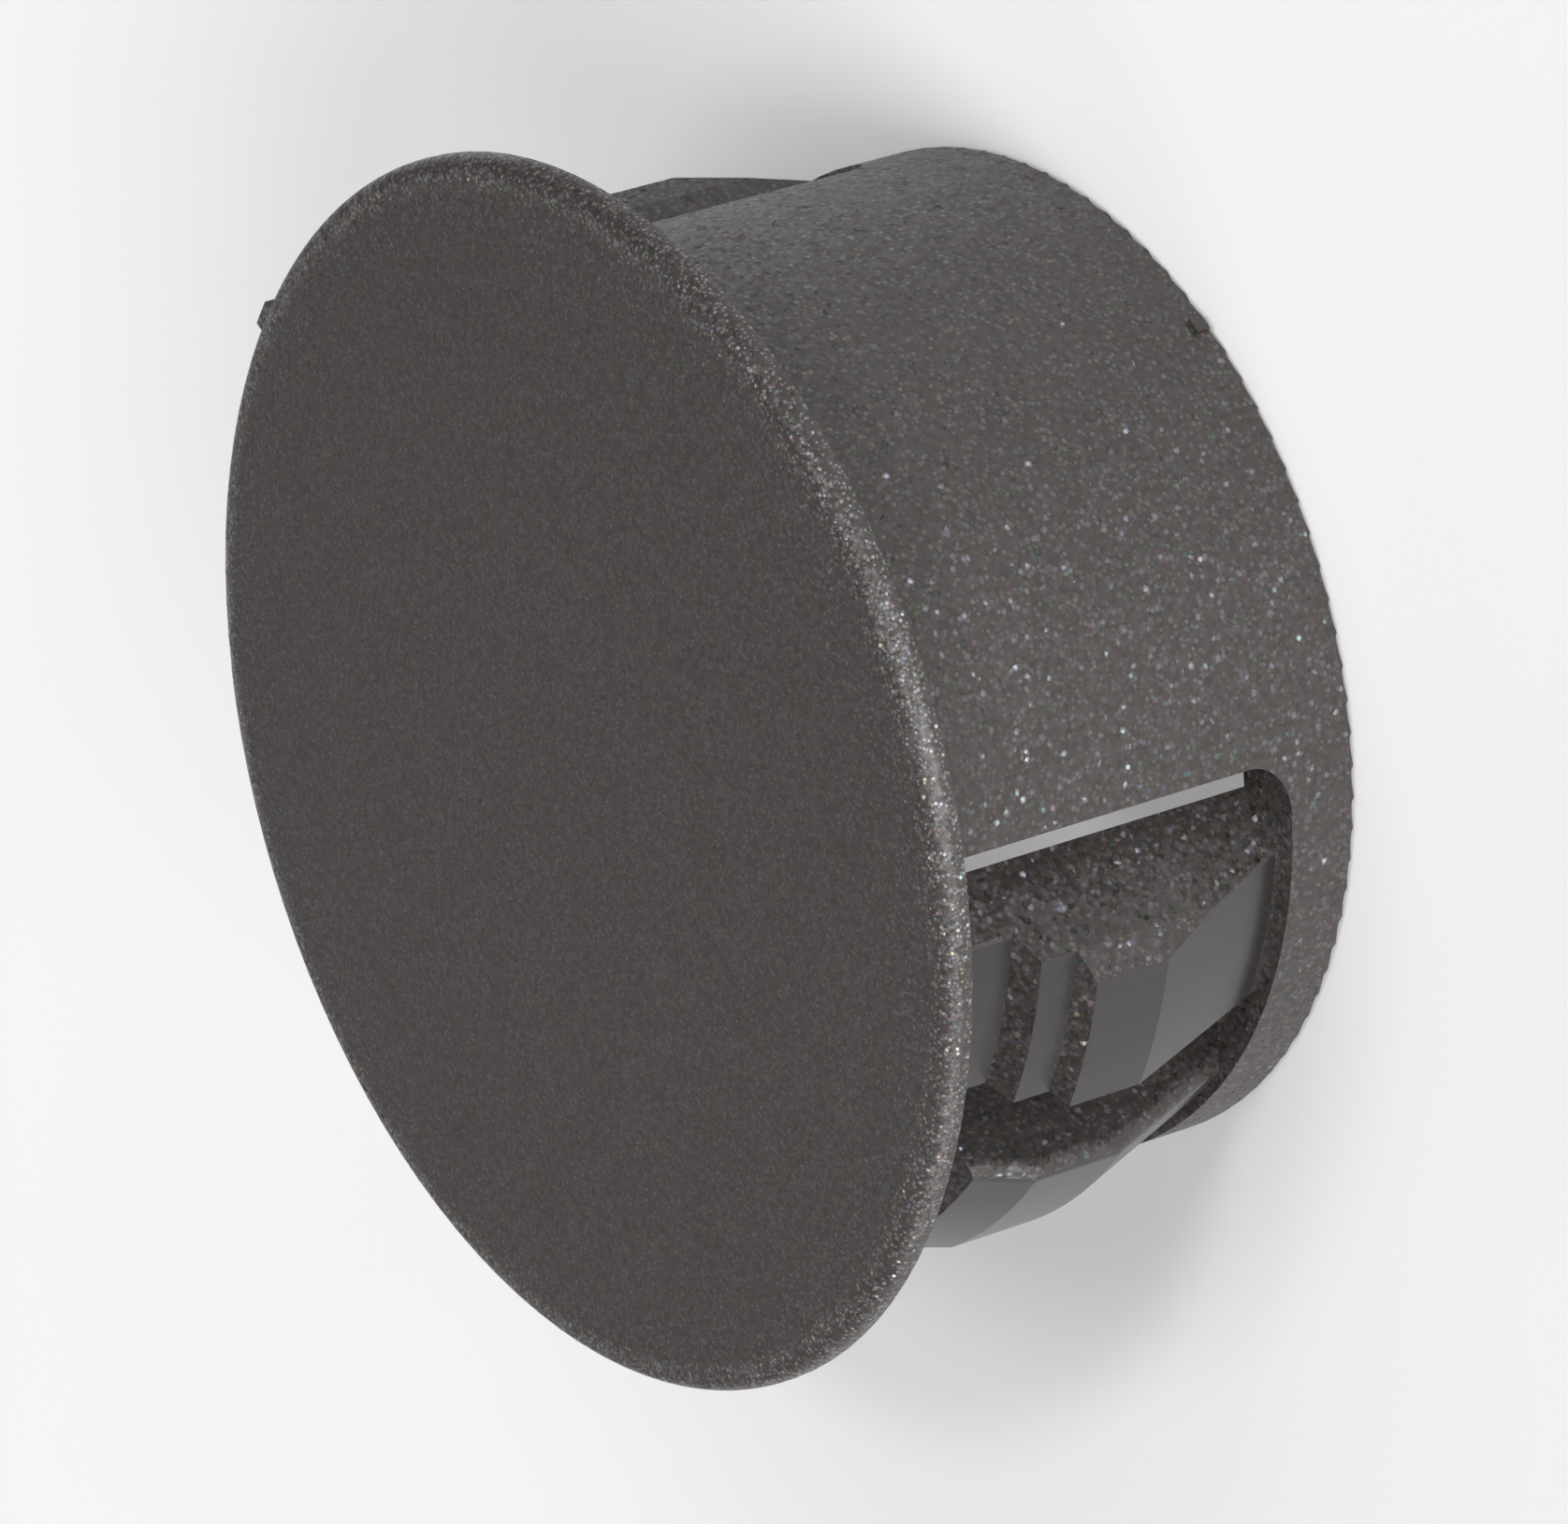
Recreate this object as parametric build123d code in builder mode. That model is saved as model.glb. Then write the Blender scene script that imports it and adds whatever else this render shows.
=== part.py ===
from build123d import *
from math import radians, tan
import os

os.makedirs("parts", exist_ok=True)

# Snap-in blanking plug, moulded in one piece.
# Origin: centre of the open end. +Z runs up the axis to the head, and +X points to the mould's
# parting line. One window faces -Y and the other faces +Y.

# heights above the open end
seat_height = 10.09          # underside of the head, which rests on the panel
rim_land = 0.10              # straight edge of the head
rim_round = 0.39             # rounding between that edge and the face
face_crown = 0.35            # how far the face swells at its middle
ceiling_height = 9.84        # inside of the head

# radii
head_radius = 11.40
skirt_radius = 9.36
bore_radius = 8.10
core_radius = 7.60           # the walls start out thicker, and the bore is cut last
finger_overlap = 0.20        # the fingers start a little further in than the walls
open_edge_round = 0.15
cut_margin = 0.50            # how far a cutting outline runs past what it cuts

# the two windows, cut through the skirt by the mould's side slides and opening outwards a little
window_half_width = 5.60     # half width and floor as they are at the plug's axis
window_floor = 2.02
window_draft = 4
window_corner_round = 0.35

# the fingers: free at the head, rooted in the ring
two_step_inner_side = 1.42   # distance of the near side from the window's middle
one_step_inner_side = 0.60
finger_outer_side = 4.67
finger_tip_height = 9.34
land_radius = 9.12
first_step_radius = 9.66
crest_radius = 10.07
two_step_root = 9.03         # where the slopes meet the ring
one_step_root = 9.16
slope_foot = 1.43
first_step_foot = 7.50
first_step_top = 7.24
second_step_foot = 6.46
second_step_top = 6.27
crest_end = 4.70
single_step_crest = 6.10
single_step_crest_end = 4.20

# how the fingers' outer corners lean and are cut back, and the one-step finger's inner corner
flank_lean_start = 6.60
flank_lean = 7.7
outer_bevel_start = 8.60
outer_bevel_slope = 23.7
inner_corner_round = 0.30

# moulding marks
gate_angle = 92.3
gate_width = 0.60
gate_proud = 0.18
gate_height = 0.26
flash_width = 0.30
flash_proud = 0.08
flash_height = 0.28

# worked out from the sizes above
rim_height = seat_height + rim_land
face_edge_height = rim_height + rim_round
face_edge_radius = head_radius - rim_round
face_top_height = face_edge_height + face_crown
root_height = slope_foot / 2
side_cut_reach = crest_radius + cut_margin
bevel_side = finger_outer_side - (outer_bevel_start - flank_lean_start) * tan(radians(flank_lean))
crest_side = bevel_side - (side_cut_reach - outer_bevel_start) * tan(radians(outer_bevel_slope))

# skirt: a plain tube, windows cut through both sides
with BuildPart() as skirt:
    with BuildSketch(Plane.XY):
        Circle(skirt_radius)
        Circle(core_radius, mode=Mode.SUBTRACT)
    extrude(amount=seat_height)
    rim_edges = skirt.edges().filter_by(GeomType.CIRCLE).group_by(Axis.Z)[0]
    fillet(rim_edges.sort_by(SortBy.RADIUS)[-1], open_edge_round)
    with BuildSketch(Plane.XZ) as window:
        with Locations((0, (window_floor + seat_height) / 2)):
            Rectangle(2 * window_half_width, seat_height - window_floor)
        low_corners = window.vertices().group_by(Axis.Z)[0]
        fillet(low_corners, window_corner_round)
    extrude(amount=skirt_radius + cut_margin, both=True, taper=-window_draft, mode=Mode.SUBTRACT)

# head: thin disc with a slightly swollen face and a rounded rim
with BuildPart() as head:
    with BuildSketch(Plane.XZ):
        with BuildLine():
            # a shallow swell has lost a quarter of its height halfway out
            ThreePointArc(
                (0, face_top_height),
                (face_edge_radius / 2, face_edge_height + face_crown * 3 / 4),
                (face_edge_radius, face_edge_height),
            )
            RadiusArc((face_edge_radius, face_edge_height), (head_radius, rim_height), rim_round)
            Polyline(
                (head_radius, rim_height),
                (head_radius, seat_height),
                (0, seat_height),
                (0, face_top_height),
            )
        make_face()
    revolve(axis=Axis.Z)

# finger with two steps: the turned outline first, then its straight-pulled sides
with BuildPart() as two_step_finger:
    with BuildSketch(Plane.XZ):
        with BuildLine():
            Polyline(
                (core_radius - finger_overlap, root_height),
                (core_radius - finger_overlap, finger_tip_height),
                (land_radius, finger_tip_height),
                (land_radius, first_step_foot),
                (first_step_radius, first_step_top),
                (first_step_radius, second_step_foot),
                (crest_radius, second_step_top),
                (crest_radius, crest_end),
                (two_step_root, slope_foot),
                (two_step_root, root_height),
                close=True,
            )
        make_face()
    revolve(axis=Axis.Z)
    with BuildSketch(Plane.XY):
        with BuildLine():
            Polyline(
                (two_step_inner_side, 0),
                (finger_outer_side, 0),
                (finger_outer_side, -flank_lean_start),
                (bevel_side, -outer_bevel_start),
                (crest_side, -side_cut_reach),
                (two_step_inner_side, -side_cut_reach),
                close=True,
            )
        make_face()
    extrude(amount=seat_height, mode=Mode.INTERSECT)

# its neighbour has one step, then swells gently to the same crest
with BuildPart() as one_step_finger:
    with BuildSketch(Plane.XZ):
        with BuildLine():
            Polyline(
                (core_radius - finger_overlap, root_height),
                (core_radius - finger_overlap, finger_tip_height),
                (land_radius, finger_tip_height),
                (land_radius, first_step_foot),
                (first_step_radius, first_step_top),
                (crest_radius, single_step_crest),
                (crest_radius, single_step_crest_end),
                (one_step_root, slope_foot),
                (one_step_root, root_height),
                close=True,
            )
        make_face()
    revolve(axis=Axis.Z)
    with BuildSketch(Plane.XY):
        with BuildLine():
            Polyline(
                (-one_step_inner_side, 0),
                (-finger_outer_side, 0),
                (-finger_outer_side, -flank_lean_start),
                (-bevel_side, -outer_bevel_start),
                (-crest_side, -side_cut_reach),
                (-one_step_inner_side, -side_cut_reach),
                close=True,
            )
        make_face()
    extrude(amount=seat_height, mode=Mode.INTERSECT)
    # the long corner beside the slot, below the step
    below_step = one_step_finger.edges().filter_by_position(Axis.Z, root_height, first_step_top)
    corner = below_step.filter_by_position(Axis.X, -one_step_inner_side - 0.01, -one_step_inner_side + 0.01)
    fillet(corner.filter_by_position(Axis.Y, -side_cut_reach, -one_step_root + cut_margin), inner_corner_round)

# moulding marks: the gate stub on the head's edge and a fleck of flash on the open rim
with BuildPart() as gate_stub:
    with Locations((head_radius, 0, seat_height)):
        Box(2 * gate_proud, gate_width, gate_height, align=(Align.CENTER, Align.CENTER, Align.MIN))
with BuildPart() as flash:
    with Locations((skirt_radius, 0, open_edge_round)):
        Box(2 * flash_proud, flash_width, flash_height, align=(Align.CENTER, Align.CENTER, Align.MIN))

with BuildPart() as plug:
    add(skirt.part)
    with PolarLocations(0, 2):
        add(two_step_finger.part)
        add(one_step_finger.part)
    add(head.part)
    with Locations((0, 0, ceiling_height)):
        Cylinder(bore_radius, seat_height - ceiling_height, align=(Align.CENTER, Align.CENTER, Align.MIN))
    Cylinder(bore_radius, ceiling_height, align=(Align.CENTER, Align.CENTER, Align.MIN), mode=Mode.SUBTRACT)
    add(gate_stub.part.rotate(Axis.Z, gate_angle))
    add(flash.part)

plug.part.label = "plug"
export_step(plug.part, "parts/plug.step")
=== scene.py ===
import math

import bpy
from mathutils import Matrix, Vector

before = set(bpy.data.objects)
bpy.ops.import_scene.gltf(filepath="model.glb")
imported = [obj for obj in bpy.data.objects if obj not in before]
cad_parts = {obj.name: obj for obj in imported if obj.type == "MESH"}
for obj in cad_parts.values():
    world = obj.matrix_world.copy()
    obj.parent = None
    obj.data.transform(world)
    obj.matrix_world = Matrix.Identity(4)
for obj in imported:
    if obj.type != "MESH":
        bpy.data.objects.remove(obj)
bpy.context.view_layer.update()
print("loaded the plug")


class Wire:
    tree = None                  # the node tree being built

    def __init__(self, socket):
        self.socket = socket

    # any node at all: its type, its settings, and a value or a wire for each socket
    @classmethod
    def node(cls, kind, settings=None, sockets=None, output=0):
        made = cls.tree.nodes.new(kind)
        for name, value in (settings or {}).items():
            setattr(made, name, value)
        for name, value in (sockets or {}).items():
            if isinstance(value, Wire):
                cls.tree.links.new(value.socket, made.inputs[name])
            else:
                made.inputs[name].default_value = value
        return None if output is None else cls(made.outputs[output])

    # another output of the node that this wire comes from
    def also(self, output):
        return Wire(self.socket.node.outputs[output])

    def maths(self, operation, *others):
        return Wire.node("ShaderNodeMath", {"operation": operation}, dict(enumerate((self,) + others)))

    def __add__(self, other):
        return self.maths("ADD", other)

    def __sub__(self, other):
        return self.maths("SUBTRACT", other)

    def __mul__(self, other):
        return self.maths("MULTIPLY", other)

    def __truediv__(self, other):
        return self.maths("DIVIDE", other)

    def __gt__(self, other):
        return self.maths("GREATER_THAN", other)

    def __lt__(self, other):
        return self.maths("LESS_THAN", other)

    def __abs__(self):
        return self.maths("ABSOLUTE")

    def __radd__(self, other):
        return self + other

    def __rmul__(self, other):
        return self * other

    def __rsub__(self, other):
        return self * -1 + other

    # a smooth rise from 0 at low to 1 at high
    def rise(self, low, high):
        sockets = {"Value": self, "From Min": low, "From Max": high}
        return Wire.node("ShaderNodeMapRange", {"interpolation_type": "SMOOTHSTEP"}, sockets)

    def vector(self, operation, other, output=0):
        return Wire.node("ShaderNodeVectorMath", {"operation": operation}, {0: self, 1: other}, output)

    def scaled(self, factor):
        return Wire.node("ShaderNodeVectorMath", {"operation": "SCALE"}, {0: self, "Scale": factor})

    # this colour where mask is 0, the other where it is 1
    def blended(self, other, mask):
        return Wire.node("ShaderNodeMix", {"data_type": "RGBA"}, {0: mask, 6: self, 7: other}, 2)


# empties the nodes of a material or a world, and builds in them from here on
def startNodes(owner):
    owner.use_nodes = True
    owner.node_tree.nodes.clear()
    Wire.tree = owner.node_tree
    return owner


def finishNodes(surface, end="ShaderNodeOutputMaterial"):
    Wire.node(end, None, {"Surface": surface}, None)


# the same level in all three channels
def grey(level):
    return Wire.node("ShaderNodeCombineXYZ", None, {"X": level, "Y": level, "Z": level})


# a number that is low where mask is 0 and high where it is 1
def between(low, high, mask):
    return low + mask * (high - low)


plugSettings = {
    "tone": (0.036, 0.030, 0.0285, 1),      # dark warm grey nylon
    "paintedTopLightTone": (0.050, 0.0415, 0.0395, 1), # painted light: paler on the tops of the texture's grains
    "paintedShadeAndPatchTone": (0.020, 0.016, 0.0145, 1),  # painted shade in the pits between them, also the colour of the darker patches
    "grainSize": 0.00007,                   # metres across one grain of the mould's texture
    "skirtGrain": 0.70,                     # the skirt's texture is coarser: its scale there
    "grainDepth": 0.000006,
    "grainRange": (0.30, 0.70),             # noise levels between pit and top
    "evenness": 0.45,                       # how far both are pulled back to the plain tone
    "facetTilt": 0.12,                      # how far each grain's own facet leans
    "roughTilt": 0.29,                      # further on the skirt and the rim
    "roughness": 0.42,
    "faceRoughness": 0.64,
    "refraction": 1.53,
    "rubbedTone": (0.022, 0.020, 0.021, 1), # the fingers' smooth outer faces
    "rubbedShare": 0.85,
    "rubbedRoughness": 0.27,
    "rubbedDepth": 0.6,                     # how much of the grain's depth is gone there
    "glintShare": 0.80,                     # share of grains that catch the light
    "glintTilt": 0.65,
    "glintRoughness": 0.25,
    "glintMetal": 0.55,
    "glintSpot": (0.30, 0.55),              # where the bright spot on a grain fades out
    "glintRange": 1.2,
    "glintTone": (0.5, 0.48, 0.48, 1),
    "glintEvenness": 0.70,
    "glintShade": 0.24,
    "faceLevel": 0.58,                      # how strongly they do in the middle of the head's face
    "rimShare": 0.90,                       # the same on the head's rim
    "rimTilt": 0.60,
    "rimShade": 0.46,
    "mottleSize": 0.0011,                   # broad, faint darker patches
    "mottleRange": (0.45, 0.85),
    "mottleDepth": 0.25,
    "faceRadius": 0.0090,                   # where the glints start to grow towards the head's rim
    "rimRadius": 0.0110,                    # where its rounding starts
    "rimBlend": 0.0003,
    "rimHeight": 0.0100,
    "fingerTop": 0.0094,                    # how far the fingers' outer faces reach
    "fingerFoot": 0.0016,
    "fingerEdge": 0.0044,
    "fingerRadius": 0.0088,
    "fingerFacing": 0.9,                    # how straight outwards they look
}


def makeNylon(settings):
    material = startNodes(bpy.data.materials.new("moulded_nylon"))
    place = Wire.node("ShaderNodeTexCoord", output="Object")
    facing = Wire.node("ShaderNodeNewGeometry", output="Normal")
    parts = Wire.node("ShaderNodeSeparateXYZ", None, {"Vector": place})
    across, height = parts, parts.also("Z")

    # the fingers' outer faces: turned surfaces that look straight out, inside the windows only
    outward = Wire.node("ShaderNodeCombineXYZ", None, {"X": across, "Y": parts.also("Y")})
    radius = outward.vector("LENGTH", (0, 0, 0), "Value")
    straightOut = outward.vector("NORMALIZE", (0, 0, 0)).vector("DOT_PRODUCT", facing, "Value")
    onFinger = (straightOut > settings["fingerFacing"]) * (abs(across) < settings["fingerEdge"])
    onFinger = onFinger * (radius > settings["fingerRadius"])
    onFinger = onFinger * (height > settings["fingerFoot"]) * (height < settings["fingerTop"])
    rough = 1 - onFinger

    # the head's rounded rim, and its face within it
    onHead = height > settings["rimHeight"]
    onRim = onHead * radius.rise(settings["rimRadius"] - settings["rimBlend"], settings["rimRadius"])
    onFace = onHead * (1 - radius.rise(settings["faceRadius"], settings["rimRadius"]))
    fineness = between(settings["skirtGrain"], 1, onHead)

    # a fine noise for the ground, and cells for the single grains
    ground = Wire.node("ShaderNodeTexNoise", None, {
        "Vector": place, "Scale": 0.5 / settings["grainSize"], "Detail": 2.0, "Roughness": 0.6})
    grain = Wire.node("ShaderNodeTexVoronoi", None, {
        "Vector": place, "Scale": fineness / settings["grainSize"]}, "Distance")
    mottle = Wire.node("ShaderNodeTexNoise", None, {
        "Vector": place, "Scale": 1 / settings["mottleSize"], "Detail": 3.0})
    lean = grain.also("Color").vector("SUBTRACT", (0.5, 0.5, 0.5))
    luck = Wire.node("ShaderNodeTexWhiteNoise", None, {"Vector": grain.also("Position")}, "Value")

    # most grains glint, a few of them strongly, each as a soft round spot
    spot = 1 - grain.rise(*settings["glintSpot"])
    share = between(settings["glintShare"], settings["rimShare"], onRim)
    strength = (1 - luck / share).rise(0, settings["glintRange"]) * rough
    strength = strength * between(1, settings["faceLevel"], onFace)
    glint = strength * spot
    glintTilt = between(settings["glintTilt"], settings["rimTilt"], onRim)

    bump = Wire.node("ShaderNodeBump", None, {
        "Height": ground * (1 - onFinger * settings["rubbedDepth"]),
        "Distance": settings["grainDepth"], "Strength": 1.0})
    facetTilt = between(settings["roughTilt"], settings["facetTilt"], onFace)
    normal = bump.vector("ADD", lean.scaled((facetTilt + strength * glintTilt) * rough))
    normal = normal.vector("NORMALIZE", (0, 0, 0))

    # painted shade and light: the tone darkens where the bump's noise is low, in the grain's pits, and
    # pales on its tops
    shade = ground.rise(*settings["grainRange"])
    tone = Wire.node("ShaderNodeMix", {"data_type": "RGBA"}, {
        0: shade, 6: settings["paintedShadeAndPatchTone"], 7: settings["paintedTopLightTone"]}, 2)
    tone = tone.blended(settings["tone"], settings["evenness"])
    patches = mottle.rise(*settings["mottleRange"])
    tone = tone.blended(settings["paintedShadeAndPatchTone"], patches * settings["mottleDepth"])
    glintTone = grain.also("Color").blended(settings["glintTone"], settings["glintEvenness"])
    glintShade = between(settings["glintShade"], settings["rimShade"], onRim)
    tone = tone.blended(glintTone.scaled(glintShade), glint)
    tone = tone.blended(settings["rubbedTone"], onFinger * settings["rubbedShare"])

    roughness = between(settings["roughness"], settings["rubbedRoughness"], onFinger)
    roughness = roughness + (onHead - onRim) * (settings["faceRoughness"] - settings["roughness"])
    shader = Wire.node("ShaderNodeBsdfPrincipled", None, {
        "Base Color": tone,
        "Metallic": glint * settings["glintMetal"],
        "Roughness": roughness - glint * (settings["roughness"] - settings["glintRoughness"]),
        "IOR": settings["refraction"],
        "Normal": normal})
    finishNodes(shader)
    return material


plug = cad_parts["plug"]
plug.data.materials.clear()
plug.data.materials.append(makeNylon(plugSettings))
print("finished the nylon")


floorSettings = {
    "width": 1.2,
    "tone": (0.66, 0.66, 0.66, 1),
    "glow": 0.147,                # added to what the camera sees of the floor
    "glowSlope": (-2.2, 3.6, 0),  # a little more of it where less light falls
    "glowRange": (0.08, 0.30),
    "paintedShadowGlow": 0.07,             # a painted shadow: the floor's glow is dimmer close to the plug, on the side away from the lamps
    "near": (0.005, 0.020),
    "paintedShadowMiddle": (-0.010, -0.005, 0),
    "hollow": 0.0088,             # under the plug, within this radius, the floor glows at a level of its own: painted light in the plug's shade
    "underPlugPaintedLight": 0.30,
}


def makeFloor(settings):
    half = settings["width"] / 2
    mesh = bpy.data.meshes.new("floor")
    corners = [(-half, -half, 0), (half, -half, 0), (half, half, 0), (-half, half, 0)]
    mesh.from_pydata(corners, [], [(0, 1, 2, 3)])
    floor = bpy.data.objects.new("floor", mesh)
    bpy.context.scene.collection.objects.link(floor)

    material = startNodes(bpy.data.materials.new("pale_floor"))
    rays = Wire.node("ShaderNodeLightPath", output="Is Camera Ray")
    seen = (rays + rays.also("Is Glossy Ray") + rays.also("Is Transmission Ray")) > 0.5
    card = Wire.node("ShaderNodeBsdfDiffuse", None, {"Color": settings["tone"]})
    place = Wire.node("ShaderNodeTexCoord", output="Object")
    # painted shadow on the floor: the glow dims close to the plug, around a middle set off to the side
    # away from the lamps
    fromPaintedShadow = place.vector("SUBTRACT", settings["paintedShadowMiddle"]).vector("LENGTH", (0, 0, 0), "Value")
    glow = settings["glow"] + place.vector("DOT_PRODUCT", settings["glowSlope"], "Value")
    glow = glow.maths("MAXIMUM", settings["glowRange"][0]).maths("MINIMUM", settings["glowRange"][1])
    free = between(settings["paintedShadowGlow"], glow, fromPaintedShadow.rise(*settings["near"]))
    # painted light on the floor under the plug, where the plug's own shade falls
    clear = place.vector("LENGTH", (0, 0, 0), "Value") > settings["hollow"]
    level = seen * between(settings["underPlugPaintedLight"], free, clear)
    shine = Wire.node("ShaderNodeEmission", None, {"Color": grey(level), "Strength": 1.0})
    finishNodes(Wire.node("ShaderNodeAddShader", None, {0: card, 1: shine}))
    mesh.materials.append(material)


def makeWorld(room, backdrop):
    world = startNodes(bpy.data.worlds.new("room"))
    bpy.context.scene.world = world
    seen = Wire.node("ShaderNodeLightPath", output="Is Camera Ray")
    level = grey(between(room, backdrop, seen))
    shine = Wire.node("ShaderNodeBackground", None, {"Color": level, "Strength": 1.0})
    finishNodes(shine, "ShaderNodeOutputWorld")


# a point or direction given as a compass turn from +X and a height above the floor, in degrees
def towards(turn, lift):
    turn, lift = math.radians(turn), math.radians(lift)
    return Vector((math.cos(lift) * math.cos(turn), math.cos(lift) * math.sin(turn), math.sin(lift)))


lightSettings = {
    "room": 0.18,
    "backdrop": 0.888,
    "softboxes": {
        "key": {"turn": -60, "lift": 30, "distance": 0.30, "size": 0.16, "power": 0.66},
        "front": {"turn": -29, "lift": 8, "distance": 0.30, "size": 0.08, "power": 0.24},
        "left": {"turn": -48, "lift": 10, "distance": 0.30, "size": 0.06, "power": 0.18},
        "side": {"turn": -110, "lift": 10, "distance": 0.30, "size": 0.09, "power": 0.32},
        "far": {"turn": 150, "lift": 18, "distance": 0.30, "size": 0.20, "power": 0.074},
        "small": {"turn": -13, "lift": 50, "distance": 0.30, "size": 0.04, "power": 0.24},
        "spark": {"turn": 15, "lift": 28, "distance": 0.30, "size": 0.03, "power": 0.04},
        "top": {"turn": -10, "lift": 72, "distance": 0.30, "size": 0.10, "power": 0.24},
    },
    "aim": (0, 0, 0.005),
}


def makeLights(settings):
    makeWorld(settings["room"], settings["backdrop"])
    for name, box in settings["softboxes"].items():
        lamp = bpy.data.lights.new(name, "AREA")
        lamp.shape = "DISK"
        lamp.size = box["size"]
        lamp.energy = box["power"]
        holder = bpy.data.objects.new(name, lamp)
        direction = towards(box["turn"], box["lift"])
        holder.location = Vector(settings["aim"]) + direction * box["distance"]
        holder.rotation_mode = "QUATERNION"
        holder.rotation_quaternion = direction.to_track_quat("Z", "Y")
        bpy.context.scene.collection.objects.link(holder)


cameraSettings = {
    "turn": -29.0,                # degrees round from +X
    "lift": 32.474,
    "roll": 106.605,              # how far the picture's up leans right of the plug's axis
    "distance": 0.18674164,
    "aim": (-0.00059489, -0.00055865, 0.00589197),
    "lens": 236.277,
    "sensorWidth": 36,
    "clip": (0.01, 10),
}


def makeCamera(settings):
    camera = bpy.data.cameras.new("camera")
    camera.sensor_width = settings["sensorWidth"]
    camera.lens = settings["lens"]
    camera.clip_start, camera.clip_end = settings["clip"]
    holder = bpy.data.objects.new("camera", camera)
    bpy.context.scene.collection.objects.link(holder)
    back = towards(settings["turn"], settings["lift"])
    levelRight = Vector((0, 0, 1)).cross(back).normalized()
    levelUp = back.cross(levelRight)
    roll = math.radians(settings["roll"])
    right = math.cos(roll) * levelRight - math.sin(roll) * levelUp
    up = math.cos(roll) * levelUp + math.sin(roll) * levelRight
    holder.rotation_mode = "QUATERNION"
    holder.rotation_quaternion = Matrix((right, up, back)).transposed().to_quaternion()
    holder.location = Vector(settings["aim"]) + back * settings["distance"]
    bpy.context.scene.camera = holder


makeFloor(floorSettings)
makeLights(lightSettings)
makeCamera(cameraSettings)
bpy.context.scene.view_settings.view_transform = "Standard"
print("set up the floor, the lights and the camera")
